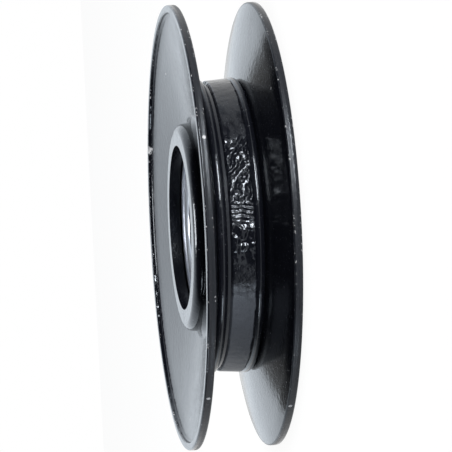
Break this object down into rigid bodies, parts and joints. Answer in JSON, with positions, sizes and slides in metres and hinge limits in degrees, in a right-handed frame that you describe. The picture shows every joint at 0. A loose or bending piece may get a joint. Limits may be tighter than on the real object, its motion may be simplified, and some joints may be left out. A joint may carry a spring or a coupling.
{
  "type": "wire rope sheave",
  "caption": "Grooved rope wheel with coned flanges on a welded hub, turning on a shielded ball bearing, painted gloss black.",
  "frame": {"origin": "centre of the sheave, on the axle axis and midway between the flanges", "axes": "+Z along the axle axis towards the upper flange; the sheave lies on the lower flange's rim"},
  "size_m": [0.127, 0.127, 0.0254],
  "materials": {
    "black_paint": "gloss",
    "ring_steel": "ground",
    "shield_steel": "satin",
    "cage_steel": "satin",
    "ball_steel": "polished"
  },
  "bodies": {
    "wheel": {"upper_flange": "black_paint", "lower_flange": "black_paint", "upper_hub_half": "black_paint", "lower_hub_half": "black_paint", "seam_weld": "black_paint", "upper_flange_weld": "black_paint", "lower_flange_weld": "black_paint", "bearing_outer_ring": "ring_steel", "upper_shield": "shield_steel", "lower_shield": "shield_steel"},
    "inner_race": {"bearing_inner_ring": "ring_steel"},
    "cage": {"upper_cage_half": "cage_steel", "lower_cage_half": "cage_steel", "cage_rivet_1": "cage_steel", "cage_rivet_2": "cage_steel", "cage_rivet_3": "cage_steel", "cage_rivet_4": "cage_steel", "cage_rivet_5": "cage_steel", "cage_rivet_6": "cage_steel", "cage_rivet_7": "cage_steel"},
    "rolling_ball_1": {"ball_1": "ball_steel"},
    "rolling_ball_2": {"ball_2": "ball_steel"},
    "rolling_ball_3": {"ball_3": "ball_steel"},
    "rolling_ball_4": {"ball_4": "ball_steel"},
    "rolling_ball_5": {"ball_5": "ball_steel"},
    "rolling_ball_6": {"ball_6": "ball_steel"},
    "rolling_ball_7": {"ball_7": "ball_steel"}
  },
  "joints": [
    {"name": "inner_ring_spin", "type": "hinge", "parent": "wheel", "child": "inner_race", "pos_m": [0, 0, 0], "axis": [0, 0, 1], "continuous": true},
    {"name": "cage_spin", "type": "hinge", "parent": "wheel", "child": "cage", "pos_m": [0, 0, 0], "axis": [0, 0, 1], "continuous": true},
    {"name": "ball_1_spin", "type": "hinge", "parent": "cage", "child": "rolling_ball_1", "pos_m": [0.018, 0, 0], "axis": [0, 0, 1], "continuous": true},
    {"name": "ball_2_spin", "type": "hinge", "parent": "cage", "child": "rolling_ball_2", "pos_m": [0.01122, 0.01407, 0], "axis": [0, 0, 1], "continuous": true},
    {"name": "ball_3_spin", "type": "hinge", "parent": "cage", "child": "rolling_ball_3", "pos_m": [-0.00401, 0.01755, 0], "axis": [0, 0, 1], "continuous": true},
    {"name": "ball_4_spin", "type": "hinge", "parent": "cage", "child": "rolling_ball_4", "pos_m": [-0.01622, 0.00781, 0], "axis": [0, 0, 1], "continuous": true},
    {"name": "ball_5_spin", "type": "hinge", "parent": "cage", "child": "rolling_ball_5", "pos_m": [-0.01622, -0.00781, 0], "axis": [0, 0, 1], "continuous": true},
    {"name": "ball_6_spin", "type": "hinge", "parent": "cage", "child": "rolling_ball_6", "pos_m": [-0.00401, -0.01755, 0], "axis": [0, 0, 1], "continuous": true},
    {"name": "ball_7_spin", "type": "hinge", "parent": "cage", "child": "rolling_ball_7", "pos_m": [0.01122, -0.01407, 0], "axis": [0, 0, 1], "continuous": true}
  ],
  "couplings": [
    {"joint": "cage_spin", "follows": "inner_ring_spin", "ratio": 0.36771},
    {"joint": "ball_1_spin", "follows": "inner_ring_spin", "ratio": -1.7575},
    {"joint": "ball_2_spin", "follows": "inner_ring_spin", "ratio": -1.7575},
    {"joint": "ball_3_spin", "follows": "inner_ring_spin", "ratio": -1.7575},
    {"joint": "ball_4_spin", "follows": "inner_ring_spin", "ratio": -1.7575},
    {"joint": "ball_5_spin", "follows": "inner_ring_spin", "ratio": -1.7575},
    {"joint": "ball_6_spin", "follows": "inner_ring_spin", "ratio": -1.7575},
    {"joint": "ball_7_spin", "follows": "inner_ring_spin", "ratio": -1.7575}
  ]
}
